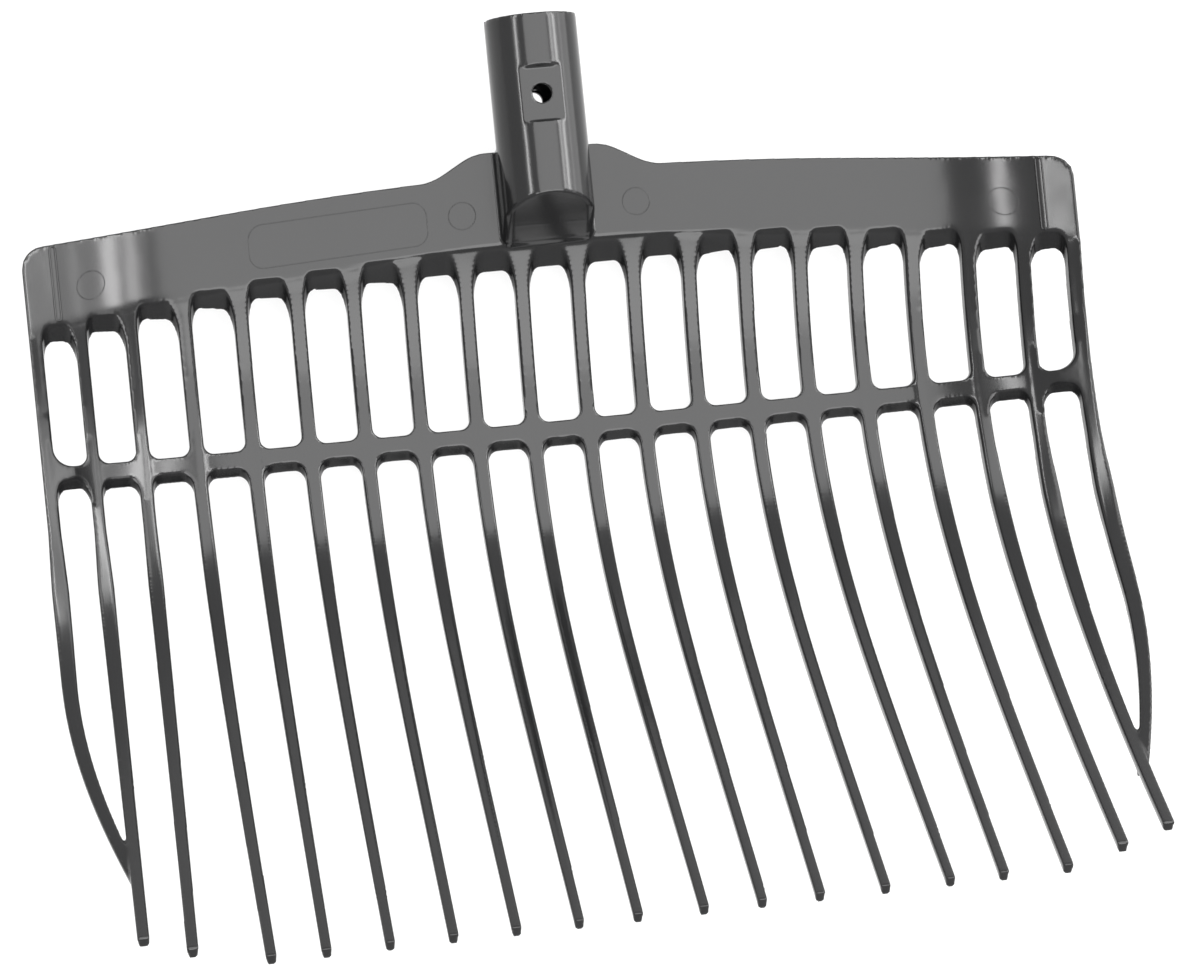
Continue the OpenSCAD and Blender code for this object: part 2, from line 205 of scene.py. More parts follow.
def bar_tree(plastic):
    """Sweeps a rounded section down every bar line; the line's points carry the section's size."""
    tree = bpy.data.node_groups.new("swept_bars", "GeometryNodeTree")
    tree.interface.new_socket("Lines", in_out="INPUT", socket_type="NodeSocketGeometry")
    tree.interface.new_socket("Corner share", in_out="INPUT", socket_type="NodeSocketFloat")
    tree.interface.new_socket("Bars", in_out="OUTPUT", socket_type="NodeSocketGeometry")
    link = tree.links.new

    def node(kind, **settings):
        made = tree.nodes.new(kind)
        for key, value in settings.items():
            setattr(made, key, value)
        return made

    def attribute(name, kind):
        read = node("GeometryNodeInputNamedAttribute", data_type=kind)
        read.inputs["Name"].default_value = name
        return read.outputs["Attribute"]

    def math(kind, first, second):
        made = node("ShaderNodeMath", operation=kind)
        for socket, value in zip(made.inputs, (first, second)):
            if isinstance(value, (int, float)):
                socket.default_value = value
            else:
                link(value, socket)
        return made.outputs[0]

    def vector(kind, first, second):
        made = node("ShaderNodeVectorMath", operation=kind)
        link(first, made.inputs[0])
        link(second, made.inputs["Scale"] if kind == "SCALE" else made.inputs[1])
        return made.outputs[0]

    given = node("NodeGroupInput")
    section = node("GeometryNodeCurvePrimitiveQuadrilateral")
    section.inputs["Width"].default_value = 2
    section.inputs["Height"].default_value = 2
    rounded = node("GeometryNodeFilletCurve", mode="POLY")
    rounded.inputs["Count"].default_value = 3
    link(section.outputs[0], rounded.inputs["Curve"])
    link(given.outputs["Corner share"], rounded.inputs["Radius"])
    marked = node("GeometryNodeStoreNamedAttribute", data_type="FLOAT_VECTOR", domain="POINT")
    marked.inputs["Name"].default_value = "section_place"
    link(rounded.outputs[0], marked.inputs["Geometry"])
    link(node("GeometryNodeInputPosition").outputs[0], marked.inputs["Value"])
    lines = node("GeometryNodeMeshToCurve")
    link(given.outputs["Lines"], lines.inputs["Mesh"])
    sweep = node("GeometryNodeCurveToMesh")
    sweep.inputs["Fill Caps"].default_value = True
    link(lines.outputs[0], sweep.inputs["Curve"])
    link(marked.outputs[0], sweep.inputs["Profile Curve"])

    across = node("ShaderNodeSeparateXYZ")
    link(attribute("section_place", "FLOAT_VECTOR"), across.inputs[0])
    behind = math("MULTIPLY", math("SUBTRACT", across.outputs["Y"], 1), 0.5)
    half = math("ADD", attribute("half_width", "FLOAT"),
                math("MULTIPLY", attribute("release", "FLOAT"), behind))
    sideways = math("MULTIPLY", across.outputs["X"], half)
    offset = node("ShaderNodeCombineXYZ")
    link(sideways, offset.inputs["X"])
    link(math("MULTIPLY", sideways, attribute("slant", "FLOAT")), offset.inputs["Z"])
    inwards = vector("SCALE", attribute("front", "FLOAT_VECTOR"),
                     math("MULTIPLY", behind, attribute("depth", "FLOAT")))
    placed = node("GeometryNodeSetPosition")
    link(sweep.outputs[0], placed.inputs["Geometry"])
    link(vector("ADD", attribute("spine", "FLOAT_VECTOR"),
                vector("ADD", offset.outputs[0], inwards)), placed.inputs["Position"])
    real = node("GeometryNodeRealizeInstances")
    link(placed.outputs[0], real.inputs[0])
    dressed = node("GeometryNodeSetMaterial")
    dressed.inputs["Material"].default_value = plastic
    link(real.outputs[0], dressed.inputs["Geometry"])
    link(dressed.outputs[0], node("NodeGroupOutput").inputs[0])
    return tree


# Recycled dark grey plastic, glossy from a polished mould, with faint clouding and fine marks
plastic = bpy.data.materials.new("dark_moulded_plastic")
plastic.use_nodes = True
nodes = plastic.node_tree.nodes
link = plastic.node_tree.links.new
shader = nodes["Principled BSDF"]
where = nodes.new("ShaderNodeTexCoord")
cloud = nodes.new("ShaderNodeTexNoise")
cloud.inputs["Scale"].default_value = 22
cloud.inputs["Detail"].default_value = 5
link(where.outputs["Object"], cloud.inputs["Vector"])
tone = nodes.new("ShaderNodeValToRGB")
tone.color_ramp.elements[0].color = (0.004, 0.004, 0.0042, 1)
tone.color_ramp.elements[1].color = (0.008, 0.008, 0.0083, 1)
link(cloud.outputs["Fac"], tone.inputs["Fac"])
link(tone.outputs["Color"], shader.inputs["Base Color"])
rough = nodes.new("ShaderNodeMapRange")
rough.inputs["To Min"].default_value = 0.12
rough.inputs["To Max"].default_value = 0.20
link(cloud.outputs["Fac"], rough.inputs["Value"])
link(rough.outputs["Result"], shader.inputs["Roughness"])
shader.inputs["IOR"].default_value = 1.43
sink = nodes.new("ShaderNodeTexNoise")
sink.inputs["Scale"].default_value = 38
sink.inputs["Detail"].default_value = 2
link(where.outputs["Object"], sink.inputs["Vector"])
fine = nodes.new("ShaderNodeTexNoise")
fine.inputs["Scale"].default_value = 900
fine.inputs["Detail"].default_value = 3
link(where.outputs["Object"], fine.inputs["Vector"])
relief = nodes.new("ShaderNodeMath")
relief.operation = "MULTIPLY_ADD"
relief.inputs[1].default_value = 0.012
link(fine.outputs["Fac"], relief.inputs[0])
link(sink.outputs["Fac"], relief.inputs[2])
bump = nodes.new("ShaderNodeBump")
bump.inputs["Strength"].default_value = 0.5
bump.inputs["Distance"].default_value = 0.0004
link(relief.outputs[0], bump.inputs["Height"])
link(bump.outputs["Normal"], shader.inputs["Normal"])

share = np.linspace(0, 1, bar_rows)
taper = np.maximum(share - taper_share, 0) / (1 - taper_share)
start_pull = (1 - share) ** 3 + 3 * (1 - share) ** 2 * share
numbers = np.arange(1, tine_count + 1)
places = tine_place(numbers)
spine, along = side_curve(places[:, None], share[None, :])
turned_in = np.maximum(share - turn_share, 0) / (1 - turn_share)
inward = (x_at(outer_a) - x_at(inner_a)) * turned_in ** turn_power
line_x = np.repeat(x_at(places)[:, None], bar_rows, 1)
line_x[0] += inward
line_x[-1] -= inward
line_x += np.array([tip_set.get(k, 0) for k in numbers])[:, None] * share ** 3
fallen = np.clip((spine[:, :1, 0] - spine[..., 0]) / bar_rise, 0, 1)
depth = (bar_d + (tip_d - bar_d) * taper) * fallen + plate_t * (1 - fallen)
slant = np.sign(places)[:, None] * np.tan(turn_at(places))[:, None] * start_pull
line_points = np.dstack([line_x, spine])
front = np.dstack([np.zeros_like(line_x), along[..., 1], -along[..., 0]])
steps = np.arange(tine_count * bar_rows).reshape(tine_count, bar_rows)
line_edges = np.stack([steps[:, :-1].ravel(), steps[:, 1:].ravel()], -1)
tines = new_object("tine_bars", line_points.reshape(-1, 3), [], line_edges.tolist())
half_w = (bar_w + (tip_w - bar_w) * taper) / 2
slot_half_w = (x_at(places[:, None] + half_w) - x_at(places[:, None] - half_w)) / 2
freed = np.clip((free_level - spine[..., 0]) / free_run, 0, 1)
carried = {
    "half_width": slot_half_w + (half_w * (1 + wing_more * turn_at(places)[:, None]) - slot_half_w) * freed,
    "release": np.broadcast_to(release_w * taper, line_x.shape),
    "depth": depth,
    "slant": slant,
    "spine": line_points + seat,
    "front": front,
}
for name, values in carried.items():
    vector_like = values.ndim == 3
    layer = tines.data.attributes.new(name, "FLOAT_VECTOR" if vector_like else "FLOAT", "POINT")
    layer.data.foreach_set("vector" if vector_like else "value",
                           np.ascontiguousarray(values, np.float32).ravel())
sweep_tree = bar_tree(plastic)
swept = tines.modifiers.new("swept_bars", "NODES")
swept.node_group = sweep_tree
swept[socket_id(sweep_tree, "Corner share")] = corner_share
plain_mesh(tines)

# Back plate
# One curved plate of the same plastic, with a humped upper edge and rising sides. Its lower part
# runs down into the tines as a row of rounded slots, cut along the draw of the mould.
plate_h = 0.024
top_arch_r = 1.260
corner_r = 0.007
hump_h = 0.0322
hump_top = 0.0235
hump_foot = 0.039
hump_soft = 0.004
slot_r = 0.0036
slot_land = 0.0012
foot_land = 0.0021
foot_slots = (9, 10, 11)
wall_mid = 0.0024
cross_drop = 0.066
cross_h = 0.006
head_l = 0.027
blunt_w = 0.0010
plate_columns = 640
plate_rows = 24
head_rows = 24
hump_samples = 9
corner_points = 13
section_points = 4000
share_rounds = 24
level_rounds = 30
lowest_level = -0.2
highest_level = 0.05
overrun = 0.060


def level_share(a, level):
    """Share of the bar line at which it passes a level on the plate."""
    low, high = np.zeros_like(level), np.ones_like(level)
    for _ in range(share_rounds):
        middle = (low + high) / 2
        above = side_curve(a, middle)[0][..., 0] > level
        low, high = np.where(above, middle, low), np.where(above, high, middle)
    return (low + high) / 2


def skin_at(a, level):
    """Front of the basket at a level: on the plate above the edge line, on the bars below it."""
    a, level = np.broadcast_arrays(a, level)
    below = side_curve(a, level_share(a, np.minimum(level, edge_at(a))))[0][..., 1]
    return np.where(level < edge_at(a), below, rise_at(a))


def face_outwards(made):
    """Turns the faces of a closed mesh outwards."""
    shape = bmesh.new()
    shape.from_mesh(made.data)
    bmesh.ops.recalc_face_normals(shape, faces=shape.faces)
    shape.to_mesh(made.data)
    shape.free()
    return made


def thick_sheet(name, front, back):
    """Closed solid between a grid of front points and a like grid of back points."""
    rows, cols = front.shape[:2]
    near = np.arange(rows * cols).reshape(rows, cols)
    far = near + rows * cols

    def strips(first, second):
        return np.stack([first[:-1], first[1:], second[1:], second[:-1]], -1).reshape(-1, 4)

    faces = [np.stack([near[:-1, :-1], near[:-1, 1:], near[1:, 1:], near[1:, :-1]], -1).reshape(-1, 4),
             np.stack([far[:-1, :-1], far[1:, :-1], far[1:, 1:], far[:-1, 1:]], -1).reshape(-1, 4),
             strips(far[0], near[0]), strips(near[-1], far[-1]),
             strips(near[:, 0], far[:, 0]), strips(far[:, -1], near[:, -1])]
    points = np.vstack([front.reshape(-1, 3), back.reshape(-1, 3)])
    return face_outwards(new_object(name, points, np.vstack(faces).tolist()))


def plate_top(x):
    """Level of the plate's upper edge at distance x from the middle."""
    x = np.abs(x)
    x_end = x_at(lip_end_a)
    arch = plate_h - top_arch_r + np.sqrt(top_arch_r ** 2 - x * x)
    foot_level = plate_h - top_arch_r + np.sqrt(top_arch_r ** 2 - hump_foot ** 2)
    places = np.asarray(x)[..., None] + np.linspace(-hump_soft, hump_soft, hump_samples)
    hump = np.interp(places, [hump_top, hump_foot], [hump_h - foot_level, 0]).mean(-1)
    arch = np.where(x < hump_foot, foot_level, arch) + hump
    past = np.clip(x - (x_end - corner_r), 0, corner_r)
    return arch - (corner_r - np.sqrt(corner_r ** 2 - past ** 2))


def slot_sides(slot):
    """Distances along the section of the two bar sides that face a slot."""
    return tine_place(slot) + bar_w / 2, tine_place(slot + 1) - bar_w / 2


def slot_end(slot, level):
    """Middle, width, place along the mould's plan and slant of a slot's end at a level."""
    sides = np.array(slot_sides(slot))
    edges = x_at(sides)
    heights = skin_at(sides, np.full(2, level))
    plan = level * np.cos(back_tilt) - heights.mean() * np.sin(back_tilt)
    width = edges[1] - edges[0]
    slant = np.arctan2(np.sin(back_tilt) * (heights[0] - heights[1]), width)
    return edges.mean(), width, plan, slant


def slot_top(slot):
    """Level of a slot's upper end, a little lower under the foot of the socket."""
    land = foot_land if slot in foot_slots else slot_land
    return slot_line(np.mean(slot_sides(slot))) - land


def rounded_end(slot, level, opens):
    """Outline of a slot's rounded end from its left to its right side, in the mould's plan."""
    middle, width, plan, slant = slot_end(slot, level)
    quarter = np.linspace(0, 1, corner_points)
    points = []
    for side, angles in ((-1, np.pi + quarter * (np.pi / 2 + slant)),
                         (1, -np.pi / 2 + slant + quarter * (np.pi / 2 - slant))):
        radius = slot_r * np.tan(np.pi / 4 + side * slant / 2)
        arm = side * (width / 2 - radius)
        centre = np.array((arm, arm * np.tan(slant) + radius / np.cos(slant)))
        points.append(centre + radius * np.stack([np.cos(angles), np.sin(angles)], -1))
    return np.vstack(points) * opens + (middle, plan)


def level_of_plan(x, plan, height_at):
    """Level at which points of the mould's plan meet a surface that height_at describes."""
    low, high = np.full(len(x), lowest_level), np.full(len(x), highest_level)
    for _ in range(level_rounds):
        level = (low + high) / 2
        past = level * np.cos(back_tilt) - height_at(x, level) * np.sin(back_tilt) > plan
        low, high = np.where(past, low, level), np.where(past, level, high)
    return (low + high) / 2


def section_at(x):
    """Distance along the section across the basket of a place x across the plate."""
    along = np.linspace(-lip_end_a - plate_t, lip_end_a + plate_t, section_points)
    return np.interp(x, x_at(along), along)


def prism(outlines, name, direction):
    """Closed bars with the given outlines, drawn out along the mould's draw or out of the plate."""
    points, faces = [], []
    tilt = back_tilt if direction == "draw" else 0
    up = np.array((0, np.cos(tilt), -np.sin(tilt)))
    out = np.array((0, np.sin(tilt), np.cos(tilt)))
    for outline in outlines:
        first, count = len(points), len(outline)
        for far in (-3 * overrun, 2 * overrun):
            points += [(x, 0, 0) + y * up + far * out for x, y in outline]
        ring = [first + k for k in range(count)]
        faces += [ring[::-1], [k + count for k in ring]]
        faces += [(ring[k - 1], ring[k], ring[k] + count, ring[k - 1] + count) for k in range(count)]
    return new_object(name, points, faces)


def open_below(outline):
    """Carries a slot's outline straight down from its rounded upper end."""
    low = min(outline[:, 1]) - overrun
    return np.vstack([outline, [(outline[-1][0], low), (outline[0][0], low)]])


def blunt_outline(outline, height_at):
    """The same slot where its wall leaves the back of the piece, seen square to the plate."""
    return np.stack([outline[:, 0], level_of_plan(outline[:, 0], outline[:, 1], height_at)], -1)


def cut_from(made, *cutters, operation="DIFFERENCE"):
    """Takes the cutters' solids out of a piece, or keeps only what lies within them."""
    for cutter in cutters:
        cut = made.modifiers.new(cutter.name, "BOOLEAN")
        cut.operation = operation
        cut.solver = "MANIFOLD"
        cut.object = cutter
    plain_mesh(made)


def plate_back(x, level):
    """Back of the plate at a level, behind its front by the wall."""
    a = section_at(x)
    wall = np.interp(np.abs(x), (bend_from, bend_to), (wall_mid, plate_t))
    return skin_at(a, level) - wall / np.cos(turn_at(a))


slots = range(1, tine_count)
slot_tops = [rounded_end(k, slot_top(k), -1) for k in slots]
upper_slots = prism([open_below(outline) for outline in slot_tops], "upper_slots", "draw")
blunt_tops = prism([open_below(blunt_outline(outline, plate_back)) for outline in slot_tops],
                   "blunt_tops", "out")

columns = np.linspace(-lip_end_a, lip_end_a, plate_columns)
edges = edge_at(columns)
tops = plate_top(x_at(columns))
levels = np.vstack([tops + (edges - tops) * np.linspace(0, 1, plate_rows)[:, None],
                    edges - head_l * np.linspace(0, 1, head_rows + 1)[1:, None]])
sheet_front = np.dstack([np.broadcast_to(x_at(columns), levels.shape), levels, skin_at(columns, levels)])
sheet_wall = plate_t / np.cos(turn_at(columns)) + blunt_w * (levels < edges + plate_t)
sheet_back = sheet_front - np.dstack([np.zeros_like(levels), np.zeros_like(levels), sheet_wall])
plate = thick_sheet("plate_sheet", sheet_front, sheet_back)

# Cross webs
# Nineteen short pieces of a crossbar tie the bars below the upper slots. Each is moulded with the
# bars beside it, and its corners flare into them.
cross_t = 0.0044
web_corner_r = 0.0034
end_corner_r = 0.0065
slot_foot = 0.0008
web_flare = 0.0085
web_rows = 20
columns = np.linspace(-outer_a, outer_a, plate_columns)
levels = np.broadcast_to(
    np.linspace(cross_h / 2 + web_flare, -cross_h / 2 - web_flare, web_rows)[:, None] - cross_drop,
    (web_rows, plate_columns))
band_front = np.dstack([np.broadcast_to(x_at(columns), levels.shape), levels, skin_at(columns, levels)])
draw = np.array((0, np.sin(back_tilt), np.cos(back_tilt)))
webs = thick_sheet("crossbar", band_front, band_front - cross_t * draw - (0, 0, blunt_w))


def web_back(x, level):
    """Back of the crossbar at a level, behind its front along the mould's draw."""
    return skin_at(section_at(x), level + cross_t * draw[1]) - cross_t * draw[2]


def slot_bottom(slot, level):
    """Outline of an upper slot from its rounded lower end up, seen square to the plate."""
    left, right = x_at(np.array(slot_sides(slot)))
    quarter = np.linspace(0, np.pi / 2, corner_points)
    steep, flat = 1 - np.cos(quarter), 1 - np.sin(quarter)
    left_r = end_corner_r if slot == 1 else web_corner_r
    right_r = end_corner_r if slot == tine_count - 1 else web_corner_r
    round_left = np.stack([left + left_r * steep, level + left_r * flat], -1)
    round_right = np.stack([right - right_r * flat, level + right_r * steep], -1)
    return np.vstack([round_left, round_right, [(right, level + overrun), (left, level + overrun)]])


upper_bottoms = prism([slot_bottom(k, -cross_drop + cross_h / 2 - slot_foot) for k in slots],
                      "upper_bottoms", "out")
web_bottoms = [rounded_end(k, -cross_drop - cross_h / 2, -1) for k in slots]
lower_slots = prism([open_below(outline) for outline in web_bottoms], "lower_slots", "draw")
blunt_webs = prism([open_below(blunt_outline(outline, web_back)) for outline in web_bottoms],
                   "blunt_webs", "out")
cut_from(webs, upper_bottoms, lower_slots, blunt_webs)

# Handle socket
# A round socket stands on the middle of the plate and takes the end of a wooden handle. It has a
# slanting foot, a blind bore, a flat pad on its front and a screw hole through it.
socket_r = 0.0162
bore_r = 0.0130
bore_depth = 0.055
ramp_h = 0.017
foot_t = -0.0024
foot_low = -0.0030
foot_round = 0.0033
grain_room = 0.0001
screw_r = 0.0033
screw_from_mouth = 0.028
pad_l = 0.0195
pad_depth = 0.0016
round_steps = 160
foot_points = 9


def ring_solid(name, low_ring, high_ring):
    """Closed solid between two rings of as many points."""
    count = len(low_ring)
    ring = list(range(count))
    faces = [ring[::-1], [k + count for k in ring]]
    faces += [(ring[k - 1], ring[k], ring[k] + count, ring[k - 1] + count) for k in ring]
    return face_outwards(new_object(name, np.vstack([low_ring, high_ring]), faces))


def tube(name, radius, low, high, axis):
    """Closed round bar along the plate or out of it, between two places on its axis."""
    turns = np.arange(round_steps) / round_steps * 2 * np.pi
    x, y = radius * np.cos(turns), radius * np.sin(turns)
    rings = []
    for place in (low, high):
        along = np.full(round_steps, place)
        rings.append(np.stack([x, along, axis_height + y], -1) if axis == "along"
                     else np.stack([x, socket_top - screw_from_mouth + y, along], -1))
    return ring_solid(name, *rings)


socket = tube("socket_body", socket_r, foot_low, socket_top, "along")
saddle_corners = ((-socket_r, foot_low), (socket_r, foot_low), (socket_r, hump_h), (-socket_r, hump_h))
saddle_rings = [np.array([(x, t, n) for x, t in saddle_corners]) for n in (-plate_t / 2, axis_height)]
saddle = ring_solid("socket_saddle", *saddle_rings)
quarter = np.linspace(0, np.pi / 2, foot_points)
side_r = socket_r + grain_room
round_x, round_t = foot_round * (1 - np.cos(quarter)), foot_round * (1 - np.sin(quarter))
block_x = np.concatenate([-side_r + round_x, (side_r - round_x)[::-1], (side_r, -side_r)])
block_t = np.concatenate([foot_t + round_t, (foot_t + round_t)[::-1], (2 * socket_top, 2 * socket_top)])
block_rings = []
for n in (-overrun, overrun):
    ramp = ramp_h / (axis_height + socket_r + plate_t / 2) * (n + plate_t / 2)
    block_rings.append(np.stack([block_x, block_t + ramp, np.full(len(block_x), n)], -1))
ramp_block = ring_solid("ramp_block", *block_rings)
cut_from(socket, ramp_block, operation="INTERSECT")
cut_from(saddle, ramp_block, operation="INTERSECT")
bore = tube("socket_bore", bore_r, socket_top - bore_depth, socket_top + overrun, "along")
screw_hole = tube("screw_hole", screw_r, -overrun, overrun, "out")
pad_middle = socket_top - screw_from_mouth
pad_level = axis_height + socket_r - pad_depth
pad_points = [(x, pad_middle + y * pad_l / 2, z) for x in (-overrun, overrun) for y in (-1, 1)
              for z in (pad_level, overrun)]
pad = new_object("screw_pad", pad_points, [(0, 1, 3, 2), (4, 6, 7, 5), (0, 4, 5, 1), (2, 3, 7, 6),
                                           (0, 2, 6, 4), (1, 5, 7, 3)])
cut_from(socket, bore, screw_hole, pad)
cut_from(saddle, bore)
cut_from(plate, upper_slots, blunt_tops, bore, screw_hole)

# One shot of plastic
# The mould fills plate, socket, webs and tines at once, so every inner corner has a small fillet
# and every edge is eased. The filled shape is then parted into the pieces of the assembly.
grain = 0.0006
ease_rounds = 4
ease = 0.5
bend_mid_w = 0.0010
bend_wing_w = 0.0050
step_up = 0.0006
step_w = 0.0009
step_h = 0.0004
step_end = -0.045
step_run = 0.030
plane_dist = 1e-7
rim_dist = 2e-6
whole = new_object("one_shot", [], [])
shape = bmesh.new()
for made in (tines, plate, webs, socket, saddle):
    shape.from_mesh(made.data)
shape.to_mesh(whole.data)
shape.free()
fused = whole.modifiers.new("fused", "REMESH")
fused.mode = "VOXEL"
fused.voxel_size = grain
eased = whole.modifiers.new("eased", "SMOOTH")
eased.factor = ease
eased.iterations = ease_rounds
plain_mesh(whole)
for made in (tines, plate, webs, socket, saddle, upper_slots, blunt_tops, upper_bottoms, lower_slots,
             blunt_webs, bore, screw_hole, pad, ramp_block):
    bpy.data.objects.remove(made)

count = len(whole.data.vertices)
points = np.empty(count * 3, np.float32)
whole.data.vertices.foreach_get("co", points)
points = points.reshape(-1, 3)
point_a = section_at(points[:, 0])
level = points[:, 1] - seat[1]
lean = np.tan(bar_lean - lean_share * turn_at(point_a))
bend_w = np.interp(np.abs(point_a), (bend_from, bend_to), (bend_mid_w, bend_wing_w))
near_bend = np.maximum(bend_w - np.abs(level - edge_at(point_a)), 0)
points[:, 2] -= lean * near_bend ** 2 / (4 * bend_w)
below = np.clip((slot_line(point_a) - slot_land + step_up - level) / step_w, 0, 1)
below *= np.clip((bend_to - np.abs(point_a)) / (bend_to - bend_from), 0, 1)
points[:, 2] -= step_h * below * np.clip((level - step_end) / step_run, 0, 1)
whole.data.vertices.foreach_set("co", points.ravel())
whole.data.update()
normals = np.empty(count * 3, np.float32)
whole.data.vertices.foreach_get("normal", normals)
normals = normals.reshape(-1, 3)
quads = np.empty(len(whole.data.loops), np.int32)
whole.data.loops.foreach_get("vertex_index", quads)
quads = quads.reshape(-1, 4)
bpy.data.objects.remove(whole)
middles = points[quads].mean(1) - seat
plan = middles[:, 1] * np.cos(back_tilt) - middles[:, 2] * np.sin(back_tilt)


class Part:
    """A stretch of the moulding that is cut free with planes, each cut closed by a cap."""

    def __init__(self, chosen):
        used, faces = np.unique(quads[chosen], return_inverse=True)
        mesh = bpy.data.meshes.new("stretch")
        mesh.from_pydata(points[used].tolist(), [], faces.reshape(-1, 4).tolist())
        layer = mesh.attributes.new("soft_normal", "FLOAT_VECTOR", "POINT")
        layer.data.foreach_set("vector", normals[used].ravel())
        self.shape = bmesh.new()
        self.shape.from_mesh(mesh)
        bpy.data.meshes.remove(mesh)
        self.caps = self.shape.faces.layers.int.new("cap")

    def cut(self, place, outwards, near=None):
        """Takes away what lies past a plane; near says which faces the cut may touch."""
        place, outwards = Vector(place) + Vector(seat), Vector(outwards).normalized()
        faces = self.shape.faces[:]
        if near:
            faces = [f for f in faces if near(f.calc_center_median() - Vector(seat))]
        around = {e for f in faces for e in f.edges}
        corners = {v for f in faces for v in f.verts}
        cut = bmesh.ops.bisect_plane(self.shape, geom=list(corners) + list(around) + faces,
                                     dist=plane_dist, plane_co=place, plane_no=outwards)
        past = [f for f in cut["geom"] if isinstance(f, bmesh.types.BMFace)
                and (f.calc_center_median() - place).dot(outwards) > 0]
        bmesh.ops.delete(self.shape, geom=past, context="FACES")
        rim = [e for e in self.shape.edges if e.is_boundary
               and all(abs((v.co - place).dot(outwards)) < rim_dist for v in e.verts)]
        closed = bmesh.ops.holes_fill(self.shape, edges=rim, sides=0)["faces"]
        for face in closed:
            face[self.caps] = 1
        for face in bmesh.ops.triangulate(self.shape, faces=closed)["faces"]:
            face[self.caps] = 1

    def finish(self, node):
        """Makes the piece that stands for a node, with the moulding's own smooth normals."""
        shape = self.shape
        bmesh.ops.recalc_face_normals(shape, faces=shape.faces)
        soft = shape.verts.layers.float_vector["soft_normal"]
        shaded = []
        for face in shape.faces:
            face.smooth = True
            capped = face[self.caps]
            shaded += [tuple(face.normal) if capped else tuple(v[soft].normalized()) for v in face.verts]
        mesh = bpy.data.meshes.new("moulded_" + node)
        shape.to_mesh(mesh)
        shape.free()
        mesh.attributes.remove(mesh.attributes["soft_normal"])
        mesh.attributes.remove(mesh.attributes["cap"])
        mesh.normals_split_custom_set(shaded)
        mesh.materials.append(plastic)
        piece = bpy.data.objects.new("moulded_" + node, mesh)
        bpy.context.scene.collection.objects.link(piece)
        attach(piece, "root")
        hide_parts(node)


# Where the moulding is parted, and how far past a cut its faces are taken
bar_gap = 0.0004
head_reach = bar_w / 2 + slot_r
scarf = 0.0015
margin = 0.004
cut_room = 0.001
head_room = 0.002
edge_room = 0.0005
foot_side = 0.002
foot_rise = 0.0008
foot_end = -0.004
web_above = 0.016
web_below = 0.018
merge_room = 0.0006
merge_low = -0.153
web_band = (-cross_drop - web_below, -cross_drop + web_above)
merge_side = x_at(inner_a) + tip_w / 2 + merge_room
slot_middles = [float(x_at(np.mean(slot_sides(k)))) for k in slots]
x_limit = 2 * lip_end_a
cell_left = dict(zip(numbers, [-x_limit] + slot_middles))
cell_right = dict(zip(numbers, slot_middles + [x_limit]))
tine_x = dict(zip(numbers, x_at(places)))


def scarf_plane(number):
    """Plane, along the mould's draw, at which a tine's head is parted from the plate."""
    ends = [slot_end(slot, slot_top(slot)) for slot in (number - 1, number) if slot in slots]
    slant = np.mean([end[3] for end in ends])
    level = min(end[2] + (tine_x[number] - end[0]) * np.tan(slant) for end in ends) - scarf
    place = (tine_x[number], level * np.cos(back_tilt), -level * np.sin(back_tilt))
    outwards = (-np.sin(slant), np.cos(slant) * np.cos(back_tilt), -np.cos(slant) * np.sin(back_tilt))
    return place, outwards, level, slant


scarfs = {k: scarf_plane(k) for k in numbers}
cell = np.searchsorted(np.array(slot_middles), middles[:, 0]) + 1
over = np.empty(len(middles))
for k in numbers:
    inside = cell == k
    level, slant = scarfs[k][2:]
    over[inside] = plan[inside] - level - (middles[inside, 0] - tine_x[k]) * np.tan(slant)
over_edge = middles[:, 1] - slot_line(places)[cell - 1]
on_foot = (np.abs(middles[:, 0]) < socket_r + foot_side) & (middles[:, 2] > foot_rise)
on_foot &= middles[:, 1] > foot_end
low = middles[:, 1] < merge_low
from_middle = np.abs(middles[:, 0])

for k in numbers:
    chosen = (middles[:, 0] > cell_left[k] - cut_room) & (middles[:, 0] < cell_right[k] + cut_room)
    chosen &= (over < margin) & (over_edge < head_room) & ~on_foot
    side = np.sign(tine_x[k])
    outermost = k in (1, tine_count)
    carries_outermost = k in (2, tine_count - 1)
    if outermost:
        chosen = np.where(low, (from_middle > merge_side - cut_room) & (middles[:, 0] * side > 0), chosen)
    elif carries_outermost:
        inner_edge = cell_right[k] if side < 0 else cell_left[k]
        chosen = np.where(low, (from_middle < merge_side + cut_room)
                          & ((middles[:, 0] - inner_edge) * side > 0), chosen)
    part = Part(chosen)
    place, outwards = scarfs[k][:2]
    for way in (-1, 1):
        bar_side = float(x_at(places[k - 1] + way * (bar_w / 2 + bar_gap)))
        part.cut((bar_side, 0, 0), (way, 0, 0),
                 lambda c: web_band[0] < c.y < web_band[1] and (c.x - tine_x[k]) * way > 0
                 and abs(c.x - tine_x[k]) < tine_pitch)
    part.cut(place, outwards, lambda c: c.y > -cross_drop + cross_h)
    if outermost:
        part.cut((side * merge_side, 0, 0), (-side, 0, 0), lambda c: c.y < merge_low)
    elif carries_outermost:
        part.cut((side * merge_side, 0, 0), (side, 0, 0), lambda c: c.y < merge_low)
    part.finish(f"tine_{k:02d}")

for k in slots:
    left = float(x_at(places[k - 1] + bar_w / 2 + bar_gap))
    right = float(x_at(places[k] - bar_w / 2 - bar_gap))
    chosen = (middles[:, 0] > left - cut_room) & (middles[:, 0] < right + cut_room)
    chosen &= (middles[:, 1] > web_band[0]) & (middles[:, 1] < web_band[1])
    part = Part(chosen)
    part.cut((left, 0, 0), (-1, 0, 0))
    part.cut((right, 0, 0), (1, 0, 0))
    part.finish(f"cross_web_{k:02d}")

